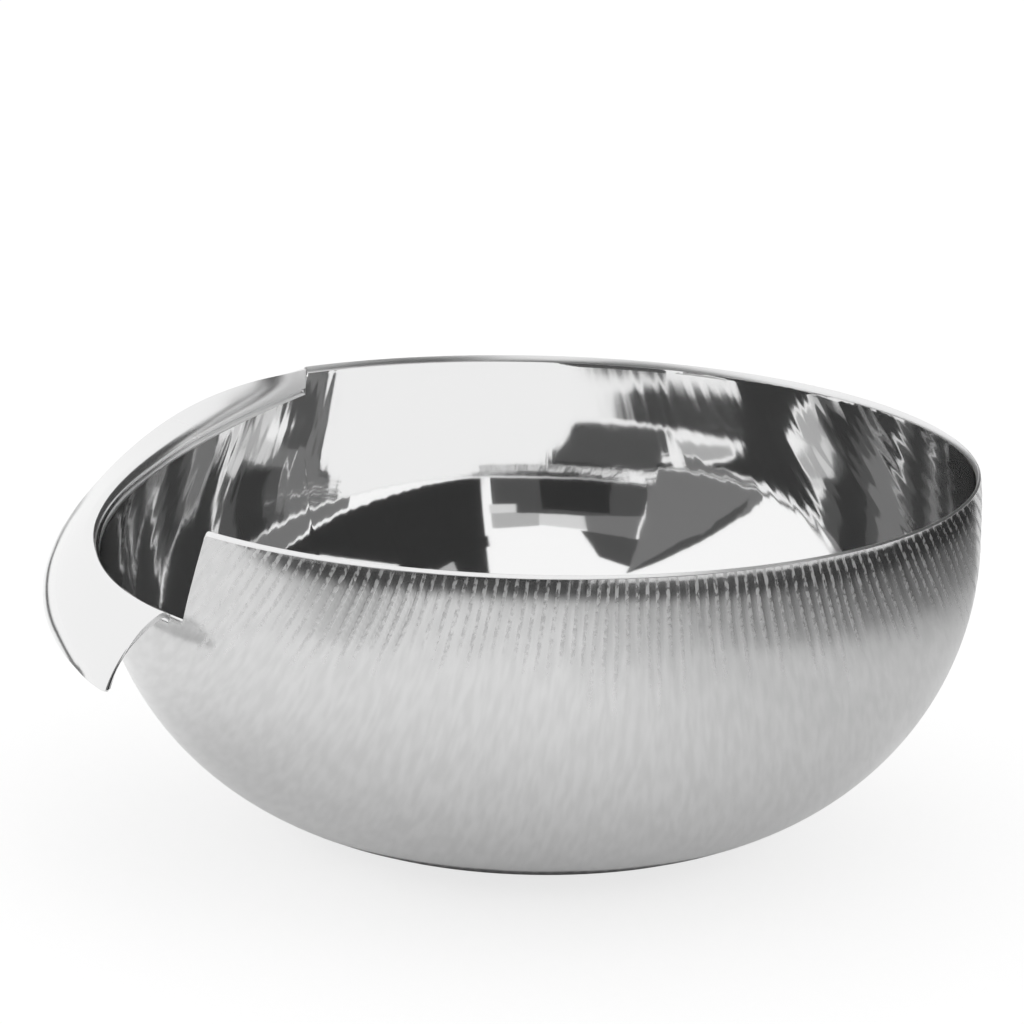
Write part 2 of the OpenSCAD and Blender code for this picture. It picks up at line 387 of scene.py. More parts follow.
def ribbed_satin_silver(looks, shell):
    """Sterling silver, hammered in ribs and satin brushed: broken crests on soft grey, with the
    grooves painted greyer than the crests as painted shade.
    """
    material, tree, shader = new_silver("ribbed_satin_silver", looks.satin, 0.2)
    ribs = add_node(tree, "ShaderNodeUVMap", {"uv_map": "blank"})
    strength = add_node(tree, "ShaderNodeAttribute", {"attribute_name": "rib_strength"})
    # Crests stand where the map's across value is a whole number of pitches
    split = add_node(tree, "ShaderNodeSeparateXYZ", Vector=ribs.outputs["UV"])
    phase = add_node(tree, "ShaderNodeMath",
                     {"operation": "MULTIPLY", 1: 2 * math.pi / shell.rib_pitch},
                     _0=split.outputs["X"])
    wave = add_node(tree, "ShaderNodeMath", {"operation": "COSINE"}, _0=phase.outputs[0])
    crest = add_node(tree, "ShaderNodeMapRange",
                     {"interpolation_type": "SMOOTHERSTEP", 1: 0.05, 2: 0.85}, _0=wave.outputs[0])
    # Beads where the hammer broke a crest, about 1.3 mm across and 1.7 mm long
    bead_place = add_node(tree, "ShaderNodeMapping", {"Scale": (770, 590, 1)},
                          Vector=ribs.outputs["UV"])
    beads = add_node(tree, "ShaderNodeTexNoise", {"Scale": 1, "Detail": 1.2, "Roughness": 0.5},
                     Vector=bead_place.outputs[0])
    # Dashes 2.2 mm apart and 9 mm long, where the satin lies greyer along the ribs
    dash_place = add_node(tree, "ShaderNodeMapping", {"Scale": (450, 110, 1)},
                          Vector=ribs.outputs["UV"])
    dashes = add_node(tree, "ShaderNodeTexNoise", {"Scale": 1, "Detail": 1.5},
                      Vector=dash_place.outputs[0])
    # Brush lines are really 0.1 mm apart; they are drawn 0.9 mm apart so that they show
    brush_place = add_node(tree, "ShaderNodeMapping", {"Scale": (1100, 90, 1)},
                           Vector=ribs.outputs["UV"])
    brush = add_node(tree, "ShaderNodeTexNoise", {"Scale": 1, "Detail": 1},
                     Vector=brush_place.outputs[0])
    tall = add_node(tree, "ShaderNodeMath", {"operation": "MULTIPLY"},
                    _0=crest.outputs[0], _1=strength.outputs["Fac"])
    broken = add_node(tree, "ShaderNodeMapRange", {1: 0.38, 2: 0.62, 3: 0.1, 4: 1},
                      _0=beads.outputs[0])
    beaded = add_node(tree, "ShaderNodeMath", {"operation": "MULTIPLY"},
                      _0=tall.outputs[0], _1=broken.outputs[0])
    ribs_up = add_node(tree, "ShaderNodeBump", {"Strength": 1, "Distance": 0.02 * MM},
                       Height=beaded.outputs[0])
    brush_up = add_node(tree, "ShaderNodeBump", {"Strength": 1, "Distance": 0.012 * MM},
                        Height=brush.outputs[0], Normal=ribs_up.outputs[0])
    tree.links.new(brush_up.outputs[0], shader.inputs["Normal"])
    dashed = add_node(tree, "ShaderNodeMapRange", {1: 0.35, 2: 0.65, 3: 0.1, 4: 0.75},
                      _0=dashes.outputs[0])
    # Painted shade: the grooves are painted greyer than the crests and beads, as shade in the
    # grooves; the dashes vary the grey at random
    shade = add_node(tree, "ShaderNodeMath",
                     {"operation": "MULTIPLY_ADD", "use_clamp": True, 1: 0.35},
                     _0=beaded.outputs[0], _2=dashed.outputs[0])
    tone = add_node(tree, "ShaderNodeMix",
                    {"data_type": "RGBA", 6: (*looks.groove, 1), 7: (*looks.satin, 1)},
                    _0=shade.outputs[0])
    tree.links.new(tone.outputs[2], shader.inputs["Base Color"])
    # The hammer left the crests rougher, so they stay light where the sheet mirrors something dark
    rough = add_node(tree, "ShaderNodeMapRange", {1: 0, 2: 0.8, 3: 0.16, 4: 0.4},
                     _0=beaded.outputs[0])
    tree.links.new(rough.outputs[0], shader.inputs["Roughness"])
    return material


def buffed_silver(name, colour_value, roughness, rippled):
    """Sterling silver, buffed: clear reflections, bent by the hammer's waves and ribs behind."""
    material, tree, shader = new_silver(name, colour_value, roughness)
    place_in = add_node(tree, "ShaderNodeTexCoord")
    # Waves 28 mm apart, where the planishing hammer never got the sheet quite flat
    waves = add_node(tree, "ShaderNodeTexNoise",
                     {"Scale": 1 / (28 * MM), "Detail": 1.5, "Roughness": 0.4},
                     Vector=place_in.outputs["Object"])
    wavy = add_node(tree, "ShaderNodeBump", {"Strength": 1, "Distance": 0.12 * MM},
                    Height=waves.outputs[0])
    normal = wavy
    if rippled:
        # A faint haze of polishing scratches keeps the darkest corners from going black
        shader.inputs["Metallic"].default_value = 0.985
        # The outside's ribs press through the sheet as ripples 3 mm apart and 20 mm long
        ribs = add_node(tree, "ShaderNodeUVMap", {"uv_map": "blank"})
        ripple_place = add_node(tree, "ShaderNodeMapping", {"Scale": (333, 50, 1)},
                                Vector=ribs.outputs["UV"])
        ripples = add_node(tree, "ShaderNodeTexNoise", {"Scale": 1, "Detail": 0.3},
                           Vector=ripple_place.outputs[0])
        strength = add_node(tree, "ShaderNodeAttribute", {"attribute_name": "ripple_strength"})
        tall = add_node(tree, "ShaderNodeMath", {"operation": "MULTIPLY"},
                        _0=ripples.outputs[0], _1=strength.outputs["Fac"])
        normal = add_node(tree, "ShaderNodeBump", {"Strength": 1, "Distance": 0.09 * MM},
                          Height=tall.outputs[0], Normal=wavy.outputs[0])
    tree.links.new(normal.outputs[0], shader.inputs["Normal"])
    return material


def soft_polished_silver(looks):
    """Sterling silver, polished by hand: clear near the tip, milky where the lip leaves the rim."""
    material = buffed_silver("soft_polished_silver", looks.lip, 0.1, False)
    tree = material.node_tree
    strip = add_node(tree, "ShaderNodeUVMap", {"uv_map": "strip"})
    split = add_node(tree, "ShaderNodeSeparateXYZ", Vector=strip.outputs["UV"])
    # The strip is 0.18 m long, from 0.242 at its back end to 0.422 at the slit
    rough = add_node(tree, "ShaderNodeMapRange", {1: 0.27, 2: 0.35, 3: 0.3, 4: 0.1},
                     _0=split.outputs["Y"])
    tree.links.new(rough.outputs[0], tree.nodes["Principled BSDF"].inputs["Roughness"])
    return material


def burnished_edge_silver(looks):
    """Sterling silver, filed and burnished: soft bright lines on the cut edges."""
    material, tree, shader = new_silver("burnished_edge_silver", looks.edge, 0.3)
    place_in = add_node(tree, "ShaderNodeTexCoord")
    file_marks = add_node(tree, "ShaderNodeTexNoise", {"Scale": 1 / (1.5 * MM), "Detail": 2},
                          Vector=place_in.outputs["Object"])
    marks_up = add_node(tree, "ShaderNodeBump", {"Strength": 0.4, "Distance": 0.02 * MM},
                        Height=file_marks.outputs[0])
    tree.links.new(marks_up.outputs[0], shader.inputs["Normal"])
    return material


def turned_foot_silver(looks):
    """Sterling silver, turned on a lathe: fine rings round the middle of the foot disc."""
    material, tree, shader = new_silver("turned_foot_silver", looks.foot, 0.28)
    place_in = add_node(tree, "ShaderNodeTexCoord")
    # Rings 0.6 mm apart, coarser than real tool marks so that they show
    rings = add_node(tree, "ShaderNodeTexWave",
                     {"wave_type": "RINGS", "rings_direction": "Z", "Scale": 1 / (0.6 * MM) / 20,
                      "Distortion": 0.6, "Detail": 2}, Vector=place_in.outputs["Object"])
    rings_up = add_node(tree, "ShaderNodeBump", {"Strength": 0.5, "Distance": 0.03 * MM},
                        Height=rings.outputs["Fac"])
    tree.links.new(rings_up.outputs[0], shader.inputs["Normal"])
    return material


def plain_paint(name, colour_value, glow=0):
    """Matt paint, or a matt acrylic table that is lit from below and so keeps shadows faint."""
    material = bpy.data.materials.new(name)
    material.use_nodes = True
    tree = material.node_tree
    shader = tree.nodes["Principled BSDF"]
    shader.inputs["Base Color"].default_value = (*colour_value, 1)
    shader.inputs["Roughness"].default_value = 1
    shader.inputs["Specular IOR Level"].default_value = 0
    shader.inputs["Emission Color"].default_value = (1, 1, 1, 1)
    shader.inputs["Emission Strength"].default_value = glow
    return material


def blend_tones(material, near, far, place_in, axis, end):
    """Runs a paint from one tone to another along an axis, so that the silver shows no line."""
    tree = material.node_tree
    split = add_node(tree, "ShaderNodeSeparateXYZ", Vector=place_in)
    fade = add_node(tree, "ShaderNodeMapRange", {"interpolation_type": "SMOOTHSTEP", 1: 0, 2: end},
                    _0=split.outputs[axis])
    tone = add_node(tree, "ShaderNodeMix", {"data_type": "RGBA", 6: (*near, 1), 7: (*far, 1)},
                    _0=fade.outputs[0])
    tree.links.new(tone.outputs[2], tree.nodes["Principled BSDF"].inputs["Base Color"])
    return material


def shaded_floor_copy_paint(looks):
    """Matt paint, greyer toward the right as painted shade: a copy of the floor round the bowl that
    only the silver sees, glowing less than the table so that the bowl's shadow shows deeper in it.
    """
    material = plain_paint("shaded_floor_copy_card", looks.shade, 0.1)
    place_in = add_node(material.node_tree, "ShaderNodeTexCoord").outputs["Object"]
    return blend_tones(material, looks.shade, looks.shade_right, place_in, "X", 0.2)


def fading_card_paint(looks):
    """Matt paint, from light at the card's inner edge to dark a third of a metre out."""
    material = plain_paint("fading_card", looks.dark)
    place_in = add_node(material.node_tree, "ShaderNodeUVMap", {"uv_map": "card"}).outputs["UV"]
    return blend_tones(material, looks.fade, looks.dark, place_in, "Y", 0.09)


# The shell

COLUMNS = 840
# Rows outside, those of them on the calm middle share of the blank, and rows inside
OUTSIDE_ROWS, CALM_ROWS, INSIDE_ROWS = 80, 16, 26
CALM_SHARE = 0.42
# How far from the blank's edge the even rows end, outside and below the eased edge inside
OUTSIDE_MARGIN, INSIDE_MARGIN = 2 * MM, 1.2 * MM
# How much closer the columns lie where ribs run up the wall and near the slit
COLUMNS_EVEN, COLUMNS_AT_RIBS, COLUMNS_AT_SLIT = 0.6, 0.8, 2.2
SLIT_ZONE = math.radians(4)
# The cut moves the sheet from half the blank outward, in full from this far inside its edge
CUT_MARGIN = 2.5 * MM
# Share of the fall that the edge keeps back at the fold, and at most elsewhere
FALL_KEPT_AT_FOLD, FALL_KEPT = 0.8, 0.6
FALL_MARGIN = 1.9 * MM
# The roll fades beside the fold, and toward the back over these sines of the turn
ROLL_FADE = math.radians(14)
ROLL_BACK_FROM, ROLL_BACK_SPAN = 0.1, 0.6
# The grooves fade out over so much of the sheet at the rim, and in from the floor's edge
CREST_SHARPNESS = 2.5
GROOVE_EDGE_FADE, GROOVE_START_FADE = 2 * MM, 12 * MM
# Ripples in the mirror press through most at the right, where the hammer struck hardest:
# strength at degrees round the bowl, and the heights in mm between which it rises
RIPPLE_TURNS = [0, 40, 58, 80, 110, 140, 220, 300, 360]
RIPPLE_SHARES = [1, 0.8, 0.3, 0.2, 0.25, 0.5, 0.6, 0.8, 1]
RIPPLE_FROM, RIPPLE_RISE = 36, 30
# Clouds that vary the ribs: cell across the ribs, cell along them, both in mm, and seed
SLOW_WANDER, QUICK_WANDER = (31, 52, 1), (7, 19, 2)
FINE_STREAK, BROAD_STREAK = (3.1, 13, 3), (6.3, 29, 4)
REACH_CLOUD = (4.2, 70, 5)


def blank_section(shell, blank):
    """Points of length along the sheet and depth in it, from the outside round to the inside."""
    sheet, fall = shell.sheet, shell.edge_fall
    calm = np.linspace(0, CALM_SHARE, CALM_ROWS, endpoint=False)
    busy = np.linspace(CALM_SHARE, 1, OUTSIDE_ROWS - CALM_ROWS)
    outside = [(t * (blank - OUTSIDE_MARGIN), 0) for t in np.concatenate([calm, busy])]
    ease_top = sheet - shell.ease_depth
    # The falling edge has a small rounded corner outside and a crisp one inside
    edge = [(blank - fall - 0.2 * MM, 0), (blank - 0.96 * fall, 0.04 * MM),
            (blank - 0.85 * fall, 0.14 * MM), (blank - 0.1 * fall, ease_top - 0.08 * MM)]
    ease = [(blank, ease_top), (blank - 0.05 * MM, ease_top + 0.04 * MM),
            (blank - shell.ease_height / 2, sheet - shell.ease_depth / 2),
            (blank - shell.ease_height + 0.1 * MM, sheet - 0.04 * MM),
            (blank - shell.ease_height - 0.2 * MM, sheet)]
    inside = [(t * (blank - shell.ease_height - INSIDE_MARGIN), sheet)
              for t in np.linspace(1, 0, INSIDE_ROWS)]
    return outside + edge + ease + inside


def column_angles(fold, shell):
    """Angles of the shell's columns, closest where ribs run up the wall and at the cut."""
    fine = np.linspace(0, 2 * math.pi, 20001)
    across = np.abs(np.cos(fine - shell.rib_turn)) ** 1.5
    slit = fold.lip.end + fold.lip.slit_foot
    near_slit = np.exp(-((fine - slit - fold.lip.slit_lean / 2) / SLIT_ZONE) ** 2)
    weight = COLUMNS_EVEN + COLUMNS_AT_RIBS * across + COLUMNS_AT_SLIT * near_slit
    total = np.concatenate([[0], np.cumsum((weight[1:] + weight[:-1]) / 2)])
    angles = np.interp(np.arange(COLUMNS) / COLUMNS * total[-1], total, fine)
    corners, _ = fold.edge()
    hair = fold.hair
    wanted = [fold.lip.start - hair, fold.lip.start, fold.lip.end, fold.lip.end + hair, slit,
              *corners[-CORNER_STEPS:]]
    taken = set()
    for corner in wanted:
        for k in np.argsort(np.abs(angles - corner)):
            if k not in taken:
                angles[k] = corner
                taken.add(k)
                break
    return np.sort(angles)


def cloud(x, y, seed):
    """Soft noise from 0 to 1 at places in cells, the same at every run."""
    def knot(i, j):
        value = np.sin(i * 127.1 + j * 311.7 + seed * 74.7) * 43758.5453
        return value - np.floor(value)
    i, j = np.floor(x), np.floor(y)
    u, v = x - i, y - j
    u, v = u * u * (3 - 2 * u), v * v * (3 - 2 * v)
    near = knot(i, j) * (1 - u) + knot(i + 1, j) * u
    far = knot(i, j + 1) * (1 - u) + knot(i + 1, j + 1) * u
    return near * (1 - v) + far * v


def rib_field(across, along, height, shell):
    """How far the ribs wander sideways and how strong they are, at places on the flat blank."""
    x, y = across / MM, along / MM

    def drift(cell_x, cell_y, seed):
        return cloud(x / cell_x, y / cell_y, seed)
    sideways = 2.6 * (drift(*SLOW_WANDER) - 0.5) + 1.1 * (drift(*QUICK_WANDER) - 0.5)
    streak = drift(*FINE_STREAK) * 0.6 + drift(*BROAD_STREAK) * 0.4
    # Each rib is fresh from the rim down to 9 to 29 mm below it, then fades out over 9 mm
    below_rim = (shell.rim - height) / MM
    reach = 9 + 20 * drift(*REACH_CLOUD)
    fresh = np.clip(1 - (below_rim - reach) / 9, 0, 1)
    strength = (0.14 + 0.86 * fresh) * (0.45 + 0.55 * np.clip((streak - 0.2) / 0.4, 0, 1))
    return sideways * MM, strength


class BOWL_OT_shell(bpy.types.Operator):
    """Raise the ribbed shell from a flat round blank"""
    bl_idname = "offering_bowl.shell"
    bl_label = "Raised shell"

    def execute(self, context):
        scene = context.scene
        shell, looks = scene.bowl_shell, scene.bowl_looks
        wall = Wall(shell, scene.bowl_foot.height)
        fold = Fold(wall, shell, scene.bowl_lip)
        blank = float(wall.along_at(shell.rim))
        section = blank_section(shell, blank)

        piece = start(bpy.ops.mesh.primitive_plane_add, "ribbed_shell", size=MM)
        bpy.ops.object.mode_set(mode="EDIT")
        bpy.ops.mesh.select_all(action="SELECT")
        bpy.ops.mesh.merge(type="CENTER")
        for (x0, d0), (x1, d1) in zip(section, section[1:]):
            bpy.ops.mesh.extrude_region_move(
                TRANSFORM_OT_translate={"value": (x1 - x0, 0, d1 - d0)})
        bpy.ops.mesh.select_all(action="SELECT")
        bpy.ops.mesh.spin(steps=COLUMNS, angle=2 * math.pi, center=(0, 0, 0), axis=(0, 0, 1))
        bpy.ops.mesh.select_all(action="SELECT")
        bpy.ops.mesh.remove_doubles(threshold=0.002 * MM)
        bpy.ops.mesh.normals_make_consistent(inside=False)
        bpy.ops.mesh.faces_shade_smooth()
        bpy.ops.object.mode_set(mode="OBJECT")

        flat = spots(piece)
        reach = np.hypot(flat[:, 0], flat[:, 1])
        depth = flat[:, 2]
        column = np.rint(np.arctan2(flat[:, 1], flat[:, 0]) / (2 * math.pi) * COLUMNS).astype(int)
        turn = column_angles(fold, shell)[column % COLUMNS]

        # The wall is cut down along the fold and at the slit
        cut_angles, cut_heights = fold.edge()
        top = wall.along_at(
            np.interp(turn, cut_angles, cut_heights, left=shell.rim, right=shell.rim))
        whole_from, kept_edge = 0.5 * blank, blank - CUT_MARGIN
        taper = np.clip((reach - whole_from) / (kept_edge - whole_from), 0, 1)
        along = reach - (blank - top) * taper
        # Under the lip the cut edge stays square
        in_fold = (turn > fold.lip.start - 1e-6) & (turn < fold.lip.end + fold.lip.slit_foot)
        eased = in_fold & (reach > blank - shell.ease_height) & (depth > shell.sheet / 2)
        depth = np.where(eased, shell.sheet, depth)
        # Elsewhere the edge falls outward, least at the right
        toward_slit = ((1 + np.cos(turn - fold.lip.end)) / 2) ** 2
        kept = np.where(in_fold, FALL_KEPT_AT_FOLD, FALL_KEPT - FALL_KEPT * toward_slit)
        falling = (reach > blank - FALL_MARGIN) & (depth < shell.sheet - shell.ease_depth)
        along = np.where(falling, along + kept * (top - along), along)

        x, y = along * np.cos(turn - shell.rib_turn), along * np.sin(turn - shell.rib_turn)
        radius, height, out, up = wall.at(along)
        # The rim is rolled inward a little, but not beside the fold and not at the back
        clear = np.minimum(np.abs(turn - fold.lip.start),
                           np.abs(turn - fold.lip.end - fold.lip.slit_foot - fold.lip.slit_lean))
        rolled = np.where(in_fold, 0, np.clip(clear / ROLL_FADE, 0, 1)) * np.clip(
            1 - (blank - along) / shell.roll_height, 0, 1) ** 2
        rolled = rolled * np.clip(1 - (np.sin(turn) - ROLL_BACK_FROM) / ROLL_BACK_SPAN, 0, 1)
        radius = radius - shell.roll * rolled
        sideways, strength = rib_field(y, x, height, shell)
        phase = (y + sideways) / shell.rib_pitch
        crest = (0.5 + 0.5 * np.cos(2 * math.pi * phase)) ** CREST_SHARPNESS
        near_edge = np.clip((top - along) / GROOVE_EDGE_FADE, 0, 1)
        on_wall = np.clip((along - wall.floor) / GROOVE_START_FADE, 0, 1)
        groove = shell.rib_depth * strength * (1 - crest) * near_edge * on_wall
        inward = depth + np.where(depth < 1e-6, groove, 0)
        radius, height = radius - inward * out, height - inward * up
        lay_map(piece, "blank", y + sideways, x)
        ribs = piece.data.attributes.new("rib_strength", "FLOAT", "POINT")
        ribs.data.foreach_set("value", strength.astype(np.float32))
        ripples = piece.data.attributes.new("ripple_strength", "FLOAT", "POINT")
        pressed = np.interp(np.degrees(turn), RIPPLE_TURNS, RIPPLE_SHARES) * np.clip(
            (height / MM - RIPPLE_FROM) / RIPPLE_RISE, 0, 1)
        ripples.data.foreach_set("value", pressed.astype(np.float32))
        place(piece, np.stack([radius * np.cos(turn), radius * np.sin(turn), height], 1))

        dress(piece, ribbed_satin_silver(looks, shell),
              buffed_silver("buffed_mirror_silver", looks.mirror, 0.05, True),
              burnished_edge_silver(looks))
        for face in piece.data.polygons:
            depths = [flat[v, 2] for v in face.vertices]
            if min(depths) > shell.sheet - 1e-6:
                face.material_index = 1
            elif max(depths) > 1e-6:
                face.material_index = 2
        finish_piece(piece, "ribbed_silver", "bowl_body")
        return {"FINISHED"}


LIP_ROWS = 170
TIP_ROWS = 10
BEND_ROWS = 14
FLAT_ROWS = 30
# The tip's rows close up over so many lengths of its rounded corner
TIP_SPAN = 1.5
# Edges of the sheet that turn more than this are rounded, and the foot's less than this are smooth
SHARP_TURN, SMOOTH_TURN = math.radians(50), math.radians(30)
FOOT_SIDES = 192
# Widths of the rings into which the foot's underside is divided, from its edge inward, in mm
FOOT_RINGS = (1, 6, 6, 6)


class BOWL_OT_lip(bpy.types.Operator):
    """Bend the smooth lip over the wall and curl it down to its tip"""
    bl_idname = "offering_bowl.lip"
    bl_label = "Turned lip"

    def execute(self, context):
        scene = context.scene
        shell, lip = scene.bowl_shell, scene.bowl_lip
        fold = Fold(Wall(shell, scene.bowl_foot.height), shell, lip)
        rows, steps = LIP_ROWS + TIP_ROWS, BEND_ROWS + FLAT_ROWS
        piece = start(bpy.ops.mesh.primitive_grid_add, "turned_lip_skin",
                      x_subdivisions=rows, y_subdivisions=steps, size=2)
        strip = spots(piece)
        i = np.rint((strip[:, 0] + 1) / 2 * rows).astype(int)
        j = np.rint((strip[:, 1] + 1) / 2 * steps).astype(int)
        corner = TIP_SPAN * fold.corner_share
        q = np.where(i <= LIP_ROWS, i / LIP_ROWS * (1 - corner),
                     1 - corner * (1 - np.sin(math.pi / 2 * (i - LIP_ROWS) / TIP_ROWS)))
        t = np.where(j <= BEND_ROWS, j / BEND_ROWS - 1, (j - BEND_ROWS) / FLAT_ROWS)
        radius, height = fold.section(q, t)
        turn = lip.start + (lip.end - lip.start) * q
        place(piece, np.stack([radius * np.cos(turn), radius * np.sin(turn), height], 1))
        lay_map(piece, "strip", t * lip.width, turn * fold.wall.half)

        bpy.ops.object.mode_set(mode="EDIT")
        bpy.ops.mesh.select_all(action="SELECT")
        bpy.ops.mesh.normals_make_consistent(inside=False)
        bpy.ops.mesh.faces_shade_smooth()
        bpy.ops.object.mode_set(mode="OBJECT")
        thick = piece.modifiers.new("sheet", "SOLIDIFY")
        thick.thickness = shell.sheet
        thick.offset = 0
        thick.use_even_offset = True
        thick.material_offset_rim = 1
        rounded = piece.modifiers.new("rounded edges", "BEVEL")
        rounded.width = lip.round_edge
        rounded.segments = 3
        rounded.limit_method = "ANGLE"
        rounded.angle_limit = SHARP_TURN
        rounded.harden_normals = True
        edge = bpy.data.materials.get("burnished_edge_silver")
        dress(piece, soft_polished_silver(scene.bowl_looks),
              edge or burnished_edge_silver(scene.bowl_looks))
        apply_modifiers(piece)
        finish_piece(piece, "polished_silver", "turned_lip")
        return {"FINISHED"}


class BOWL_OT_foot(bpy.types.Operator):
    """Turn the foot disc on which the bowl stands"""
    bl_idname = "offering_bowl.foot"
    bl_label = "Foot disc"

    def execute(self, context):
        foot = context.scene.bowl_foot
        piece = start(bpy.ops.mesh.primitive_cylinder_add, "turned_foot", vertices=FOOT_SIDES,
                      radius=foot.width / 2, depth=foot.height, location=(0, 0, foot.height / 2))
        bpy.ops.object.mode_set(mode="EDIT")
        bpy.ops.mesh.select_mode(type="EDGE")
        bpy.ops.mesh.select_all(action="DESELECT")
        bpy.ops.object.mode_set(mode="OBJECT")
        mesh = piece.data
        for edge in mesh.edges:
            edge.select = all(mesh.vertices[v].co.z < 0 for v in edge.vertices)
        bpy.ops.object.mode_set(mode="EDIT")
        bpy.ops.mesh.bevel(offset=foot.bevel, segments=4)
        bpy.ops.mesh.select_mode(type="FACE")
        bpy.ops.mesh.select_all(action="DESELECT")
        bpy.ops.object.mode_set(mode="OBJECT")
        for face in mesh.polygons:
            face.select = face.normal.z < -0.99
        bpy.ops.object.mode_set(mode="EDIT")
        for ring in FOOT_RINGS:
            bpy.ops.mesh.inset(thickness=ring * MM)
        bpy.ops.object.mode_set(mode="OBJECT")
        bpy.ops.object.shade_smooth_by_angle(angle=SMOOTH_TURN)
        dress(piece, turned_foot_silver(context.scene.bowl_looks))
        finish_piece(piece, "foot_silver", "foot_disc")
        return {"FINISHED"}


# The stage

CAMERA_HEIGHT = math.radians(14.36)
CAMERA_DISTANCE = 1.25
CAMERA_ROLL = math.radians(1.33)
# How far the picture's middle lies right of the rim's middle and above it, across the view
CAMERA_RIGHT, CAMERA_UP = -6.65 * MM, -13.98 * MM
CAMERA_LENS = 175.8
TABLE_SIZE = 12
# Height and reach of the dome on which the upright cards stand
DOME_MIDDLE, DOME_REACH = 0.09, 1.7
FLOOR_CARD_HEIGHT = 1 * MM
# A later card lies this much nearer to the bowl, so that it covers an earlier one
FLOOR_STEP, DOME_STEP = 0.1 * MM, 20 * MM


def on_floor(turn, reach, nearer):
    """Place just over the floor, at degrees round the bowl and a reach from it."""
    a = math.radians(turn)
    return reach * math.cos(a), reach * math.sin(a), FLOOR_CARD_HEIGHT + nearer


def on_dome(turn, rise, nearer):
    """Place on a dome round the bowl, at degrees round it and above the floor."""
    a, b = math.radians(turn), math.radians(rise)
    reach = DOME_REACH - nearer
    return (reach * math.cos(a) * math.cos(b), reach * math.sin(a) * math.cos(b),
            DOME_MIDDLE + reach * math.sin(b))


def glossy_card(name, paint, low, high):
    """A card between two lines of places, seen by nothing but the silver's reflections."""
    card = start(bpy.ops.mesh.primitive_grid_add, name, x_subdivisions=24, y_subdivisions=8, size=2)
    sheet = spots(card)
    q, t = (sheet[:, 0] + 1) / 2, (sheet[:, 1] + 1) / 2
    edges = [np.stack([np.interp(q * (len(line) - 1), range(len(line)), axis)
                       for axis in zip(*line)], 1) for line in (low, high)]
    place(card, edges[0] * (1 - t[:, None]) + edges[1] * t[:, None])
    lay_map(card, "card", q, t)
    dress(card, paint)
    card.visible_camera = card.visible_diffuse = card.visible_shadow = False
    card.visible_transmission = card.visible_volume_scatter = False


class BOWL_OT_stage(bpy.types.Operator):
    """Set the pale floor, the soft lights, the cards that the silver mirrors, and the camera"""
    bl_idname = "offering_bowl.stage"
    bl_label = "Stage"

    def execute(self, context):
        scene = context.scene
        looks = scene.bowl_looks
        floor = start(bpy.ops.mesh.primitive_plane_add, "table", size=TABLE_SIZE)
        dress(floor, plain_paint("lit_acrylic_table", looks.floor, 0.74))

        paints = {tone: plain_paint(tone + "_card", getattr(looks, tone))
                  for tone in ("dark", "dim", "grey", "pale", "light")}
        paints["shade"], paints["fade"] = shaded_floor_copy_paint(looks), fading_card_paint(looks)
        for spot, step, cards in ((on_floor, FLOOR_STEP, FLOOR_CARDS),
                                  (on_dome, DOME_STEP, DOME_CARDS)):
            for k, (name, tone, low, high) in enumerate(cards):
                glossy_card(name, paints[tone], [spot(*p, k * step) for p in low],
                            [spot(*p, k * step) for p in high])

        world = scene.world or bpy.data.worlds.new("studio")
        scene.world = world
        world.use_nodes = True
        air = world.node_tree.nodes["Background"]
        air.inputs["Color"].default_value = (1, 1, 1, 1)
        air.inputs["Strength"].default_value = 1.0

        for name, spot, aim, size, power in LAMPS:
            lamp = bpy.data.lights.new(name, "AREA")
            lamp.shape = "RECTANGLE"
            lamp.size, lamp.size_y = size
            lamp.energy = power
            holder = bpy.data.objects.new(name, lamp)
            scene.collection.objects.link(holder)
            holder.visible_glossy = False
            holder.location = spot
            holder.rotation_euler = (Vector(aim) - Vector(spot)).to_track_quat("-Z", "Y").to_euler()

        lens = bpy.data.cameras.new("camera")
        lens.lens, lens.sensor_width = CAMERA_LENS, 36
        lens.clip_start, lens.clip_end = 0.05, 50
        camera = bpy.data.objects.new("camera", lens)
        scene.collection.objects.link(camera)
        target = Vector((0, 0, scene.bowl_shell.rim))
        away = Vector((0, -math.cos(CAMERA_HEIGHT), math.sin(CAMERA_HEIGHT)))
        camera.location = target + CAMERA_DISTANCE * away
        level = (-away).to_track_quat("-Z", "Y") @ Quaternion((0, 0, 1), CAMERA_ROLL)
        aim = target + level @ Vector((CAMERA_RIGHT, CAMERA_UP, 0))
        look = (aim - camera.location).to_track_quat("-Z", "Y") @ Quaternion((0, 0, 1), CAMERA_ROLL)
        camera.rotation_euler = look.to_euler()
        scene.camera = camera
        scene.view_settings.view_transform = "Standard"
        return {"FINISHED"}


